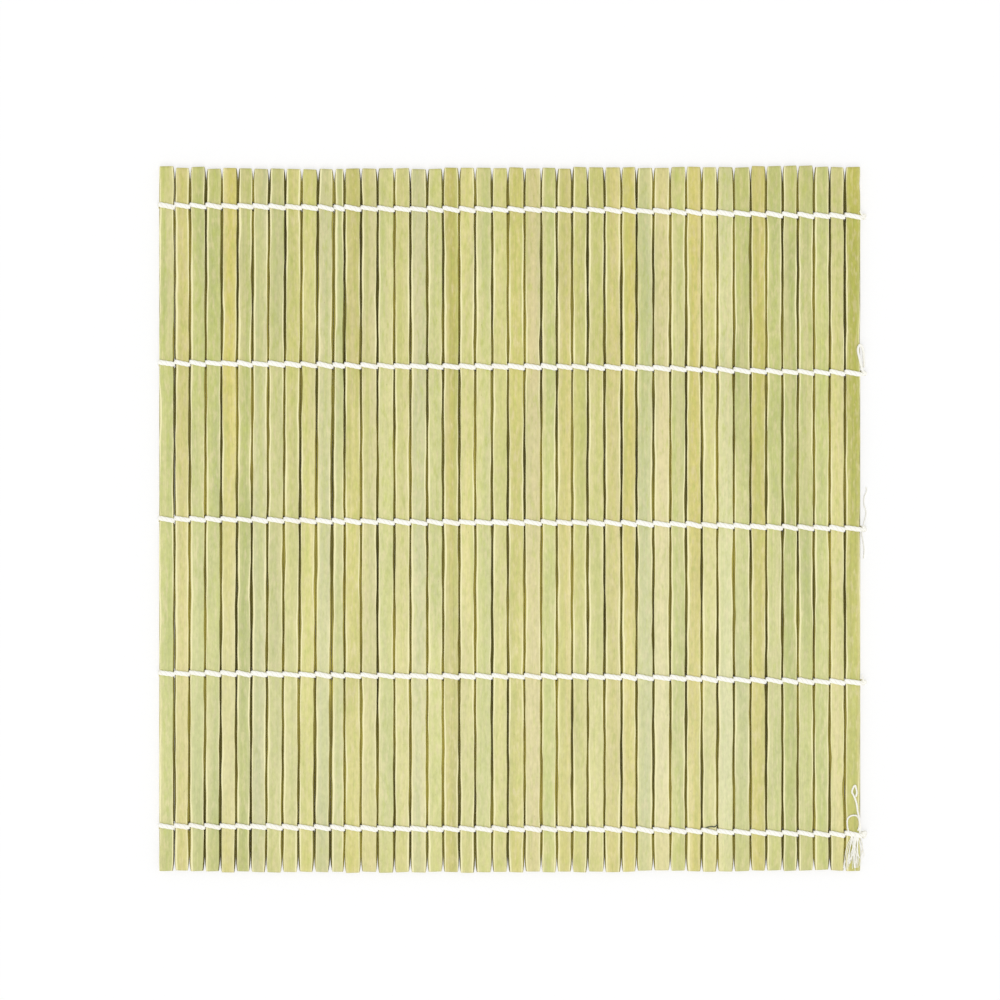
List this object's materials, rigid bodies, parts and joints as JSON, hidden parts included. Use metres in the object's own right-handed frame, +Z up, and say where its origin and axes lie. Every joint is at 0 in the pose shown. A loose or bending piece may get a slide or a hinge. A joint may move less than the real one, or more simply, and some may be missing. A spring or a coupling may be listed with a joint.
{
  "type": "bamboo rolling mat",
  "caption": "Square mat of flat split-bamboo slats held by twined cotton strings, which rolls up into a tube to shape sushi rolls.",
  "frame": {"origin": "under the middle of the whole mat, on the surface it lies on", "axes": "+X across the slats towards the knots, +Y along the slats, +Z up out of the green skin side"},
  "size_m": [0.2426, 0.2408, 0.0036],
  "materials": {
    "green_slat": "satin",
    "pale_slat": "satin",
    "straw_slat": "satin",
    "cotton": "matte"
  },
  "bodies": {
    "slat_01_body": {"slat_01": "straw_slat"},
    "slat_02_body": {"slat_02": "straw_slat"},
    "slat_03_body": {"slat_03": "green_slat"},
    "slat_04_body": {"slat_04": "green_slat"},
    "slat_05_body": {"slat_05": "straw_slat"},
    "slat_06_body": {"slat_06": "green_slat"},
    "slat_07_body": {"slat_07": "pale_slat"},
    "slat_08_body": {"slat_08": "pale_slat"},
    "slat_09_body": {"slat_09": "green_slat"},
    "slat_10_body": {"slat_10": "straw_slat"},
    "slat_11_body": {"slat_11": "pale_slat"},
    "slat_12_body": {"slat_12": "pale_slat"},
    "slat_13_body": {"slat_13": "straw_slat"},
    "slat_14_body": {"slat_14": "pale_slat"},
    "slat_15_body": {"slat_15": "pale_slat"},
    "slat_16_body": {"slat_16": "green_slat"},
    "slat_17_body": {"slat_17": "pale_slat"},
    "slat_18_body": {"slat_18": "pale_slat"},
    "slat_19_body": {"slat_19": "straw_slat"},
    "slat_20_body": {"slat_20": "pale_slat"},
    "slat_21_body": {"slat_21": "green_slat"},
    "slat_22_body": {"slat_22": "straw_slat", "string_1": "cotton", "string_2": "cotton", "string_3": "cotton", "string_4": "cotton", "string_5": "cotton"},
    "slat_23_body": {"slat_23": "straw_slat"},
    "slat_24_body": {"slat_24": "pale_slat"},
    "slat_25_body": {"slat_25": "green_slat"},
    "slat_26_body": {"slat_26": "pale_slat"},
    "slat_27_body": {"slat_27": "green_slat"},
    "slat_28_body": {"slat_28": "green_slat"},
    "slat_29_body": {"slat_29": "pale_slat"},
    "slat_30_body": {"slat_30": "straw_slat"},
    "slat_31_body": {"slat_31": "green_slat"},
    "slat_32_body": {"slat_32": "pale_slat"},
    "slat_33_body": {"slat_33": "green_slat"},
    "slat_34_body": {"slat_34": "straw_slat"},
    "slat_35_body": {"slat_35": "pale_slat"},
    "slat_36_body": {"slat_36": "pale_slat"},
    "slat_37_body": {"slat_37": "green_slat"},
    "slat_38_body": {"slat_38": "straw_slat"},
    "slat_39_body": {"slat_39": "green_slat"},
    "slat_40_body": {"slat_40": "green_slat"},
    "slat_41_body": {"slat_41": "pale_slat"},
    "slat_42_body": {"slat_42": "pale_slat"},
    "slat_43_body": {"slat_43": "straw_slat"},
    "slat_44_body": {"slat_44": "straw_slat", "knot_1": "cotton", "knot_2": "cotton", "knot_3": "cotton", "knot_4": "cotton", "knot_5": "cotton"}
  },
  "joints": [
    {"name": "hinge_43", "type": "hinge", "parent": "slat_44_body", "child": "slat_43_body", "pos_m": [0.11269, 0, 0.0018], "axis": [0, 1, 0], "range_deg": [0, 14.84]},
    {"name": "hinge_42", "type": "hinge", "parent": "slat_43_body", "child": "slat_42_body", "pos_m": [0.10753, 0, 0.0018], "axis": [0, 1, 0], "range_deg": [0, 15.23]},
    {"name": "hinge_41", "type": "hinge", "parent": "slat_42_body", "child": "slat_41_body", "pos_m": [0.10214, 0, 0.0018], "axis": [0, 1, 0], "range_deg": [0, 15.85]},
    {"name": "hinge_40", "type": "hinge", "parent": "slat_41_body", "child": "slat_40_body", "pos_m": [0.09666, 0, 0.0018], "axis": [0, 1, 0], "range_deg": [0, 15.8]},
    {"name": "hinge_39", "type": "hinge", "parent": "slat_40_body", "child": "slat_39_body", "pos_m": [0.09141, 0, 0.0018], "axis": [0, 1, 0], "range_deg": [0, 15.98]},
    {"name": "hinge_38", "type": "hinge", "parent": "slat_39_body", "child": "slat_38_body", "pos_m": [0.08591, 0, 0.0018], "axis": [0, 1, 0], "range_deg": [0, 16.26]},
    {"name": "hinge_37", "type": "hinge", "parent": "slat_38_body", "child": "slat_37_body", "pos_m": [0.08058, 0, 0.0018], "axis": [0, 1, 0], "range_deg": [0, 16.73]},
    {"name": "hinge_36", "type": "hinge", "parent": "slat_37_body", "child": "slat_36_body", "pos_m": [0.07488, 0, 0.0018], "axis": [0, 1, 0], "range_deg": [0, 17.33]},
    {"name": "hinge_35", "type": "hinge", "parent": "slat_36_body", "child": "slat_35_body", "pos_m": [0.06929, 0, 0.0018], "axis": [0, 1, 0], "range_deg": [0, 16.96]},
    {"name": "hinge_34", "type": "hinge", "parent": "slat_35_body", "child": "slat_34_body", "pos_m": [0.06395, 0, 0.0018], "axis": [0, 1, 0], "range_deg": [0, 16.72]},
    {"name": "hinge_33", "type": "hinge", "parent": "slat_34_body", "child": "slat_33_body", "pos_m": [0.05862, 0, 0.0018], "axis": [0, 1, 0], "range_deg": [0, 16.98]},
    {"name": "hinge_32", "type": "hinge", "parent": "slat_33_body", "child": "slat_32_body", "pos_m": [0.05324, 0, 0.0018], "axis": [0, 1, 0], "range_deg": [0, 17.87]},
    {"name": "hinge_31", "type": "hinge", "parent": "slat_32_body", "child": "slat_31_body", "pos_m": [0.04748, 0, 0.0018], "axis": [0, 1, 0], "range_deg": [0, 18.64]},
    {"name": "hinge_30", "type": "hinge", "parent": "slat_31_body", "child": "slat_30_body", "pos_m": [0.04176, 0, 0.0018], "axis": [0, 1, 0], "range_deg": [0, 17.9]},
    {"name": "hinge_29", "type": "hinge", "parent": "slat_30_body", "child": "slat_29_body", "pos_m": [0.0366, 0, 0.0018], "axis": [0, 1, 0], "range_deg": [0, 18.15]},
    {"name": "hinge_28", "type": "hinge", "parent": "slat_29_body", "child": "slat_28_body", "pos_m": [0.03085, 0, 0.0018], "axis": [0, 1, 0], "range_deg": [0, 19.34]},
    {"name": "hinge_27", "type": "hinge", "parent": "slat_28_body", "child": "slat_27_body", "pos_m": [0.02514, 0, 0.0018], "axis": [0, 1, 0], "range_deg": [0, 18.87]},
    {"name": "hinge_26", "type": "hinge", "parent": "slat_27_body", "child": "slat_26_body", "pos_m": [0.01982, 0, 0.0018], "axis": [0, 1, 0], "range_deg": [0, 18.24]},
    {"name": "hinge_25", "type": "hinge", "parent": "slat_26_body", "child": "slat_25_body", "pos_m": [0.01461, 0, 0.0018], "axis": [0, 1, 0], "range_deg": [0, 18.44]},
    {"name": "hinge_24", "type": "hinge", "parent": "slat_25_body", "child": "slat_24_body", "pos_m": [0.00932, 0, 0.0018], "axis": [0, 1, 0], "range_deg": [0, 19.55]},
    {"name": "hinge_23", "type": "hinge", "parent": "slat_24_body", "child": "slat_23_body", "pos_m": [0.00363, 0, 0.0018], "axis": [0, 1, 0], "range_deg": [0, 20.52]},
    {"name": "hinge_22", "type": "hinge", "parent": "slat_23_body", "child": "slat_22_body", "pos_m": [-0.00203, 0, 0.0018], "axis": [0, 1, 0], "range_deg": [0, 20.27], "deforming": ["string_1", "string_2", "string_3", "string_4", "string_5"]},
    {"name": "hinge_21", "type": "hinge", "parent": "slat_22_body", "child": "slat_21_body", "pos_m": [-0.00742, 0, 0.0018], "axis": [0, 1, 0], "range_deg": [0, 20.78]},
    {"name": "hinge_20", "type": "hinge", "parent": "slat_21_body", "child": "slat_20_body", "pos_m": [-0.01318, 0, 0.0018], "axis": [0, 1, 0], "range_deg": [0, 21.19]},
    {"name": "hinge_19", "type": "hinge", "parent": "slat_20_body", "child": "slat_19_body", "pos_m": [-0.01859, 0, 0.0018], "axis": [0, 1, 0], "range_deg": [0, 21.1]},
    {"name": "hinge_18", "type": "hinge", "parent": "slat_19_body", "child": "slat_18_body", "pos_m": [-0.02412, 0, 0.0018], "axis": [0, 1, 0], "range_deg": [0, 21.43]},
    {"name": "hinge_17", "type": "hinge", "parent": "slat_18_body", "child": "slat_17_body", "pos_m": [-0.02951, 0, 0.0018], "axis": [0, 1, 0], "range_deg": [0, 22.22]},
    {"name": "hinge_16", "type": "hinge", "parent": "slat_17_body", "child": "slat_16_body", "pos_m": [-0.03524, 0, 0.0018], "axis": [0, 1, 0], "range_deg": [0, 22.79]},
    {"name": "hinge_15", "type": "hinge", "parent": "slat_16_body", "child": "slat_15_body", "pos_m": [-0.04071, 0, 0.0018], "axis": [0, 1, 0], "range_deg": [0, 23.21]},
    {"name": "hinge_14", "type": "hinge", "parent": "slat_15_body", "child": "slat_14_body", "pos_m": [-0.04643, 0, 0.0018], "axis": [0, 1, 0], "range_deg": [0, 24.08]},
    {"name": "hinge_13", "type": "hinge", "parent": "slat_14_body", "child": "slat_13_body", "pos_m": [-0.05207, 0, 0.0018], "axis": [0, 1, 0], "range_deg": [0, 24.32]},
    {"name": "hinge_12", "type": "hinge", "parent": "slat_13_body", "child": "slat_12_body", "pos_m": [-0.05766, 0, 0.0018], "axis": [0, 1, 0], "range_deg": [0, 21.79]},
    {"name": "hinge_11", "type": "hinge", "parent": "slat_12_body", "child": "slat_11_body", "pos_m": [-0.06191, 0, 0.0018], "axis": [0, 1, 0], "range_deg": [0, 21.84]},
    {"name": "hinge_10", "type": "hinge", "parent": "slat_11_body", "child": "slat_10_body", "pos_m": [-0.06735, 0, 0.0018], "axis": [0, 1, 0], "range_deg": [0, 25.2]},
    {"name": "hinge_09", "type": "hinge", "parent": "slat_10_body", "child": "slat_09_body", "pos_m": [-0.07282, 0, 0.0018], "axis": [0, 1, 0], "range_deg": [0, 25.96]},
    {"name": "hinge_08", "type": "hinge", "parent": "slat_09_body", "child": "slat_08_body", "pos_m": [-0.07831, 0, 0.0018], "axis": [0, 1, 0], "range_deg": [0, 26.81]},
    {"name": "hinge_07", "type": "hinge", "parent": "slat_08_body", "child": "slat_07_body", "pos_m": [-0.08386, 0, 0.0018], "axis": [0, 1, 0], "range_deg": [0, 27.27]},
    {"name": "hinge_06", "type": "hinge", "parent": "slat_07_body", "child": "slat_06_body", "pos_m": [-0.08923, 0, 0.0018], "axis": [0, 1, 0], "range_deg": [0, 26.91]},
    {"name": "hinge_05", "type": "hinge", "parent": "slat_06_body", "child": "slat_05_body", "pos_m": [-0.09432, 0, 0.0018], "axis": [0, 1, 0], "range_deg": [0, 27.68]},
    {"name": "hinge_04", "type": "hinge", "parent": "slat_05_body", "child": "slat_04_body", "pos_m": [-0.09968, 0, 0.0018], "axis": [0, 1, 0], "range_deg": [0, 29.29]},
    {"name": "hinge_03", "type": "hinge", "parent": "slat_04_body", "child": "slat_03_body", "pos_m": [-0.10503, 0, 0.0018], "axis": [0, 1, 0], "range_deg": [0, 30.34]},
    {"name": "hinge_02", "type": "hinge", "parent": "slat_03_body", "child": "slat_02_body", "pos_m": [-0.1104, 0, 0.0018], "axis": [0, 1, 0], "range_deg": [0, 30.91]},
    {"name": "hinge_01", "type": "hinge", "parent": "slat_02_body", "child": "slat_01_body", "pos_m": [-0.11556, 0, 0.0018], "axis": [0, 1, 0], "range_deg": [0, 31.44]}
  ]
}
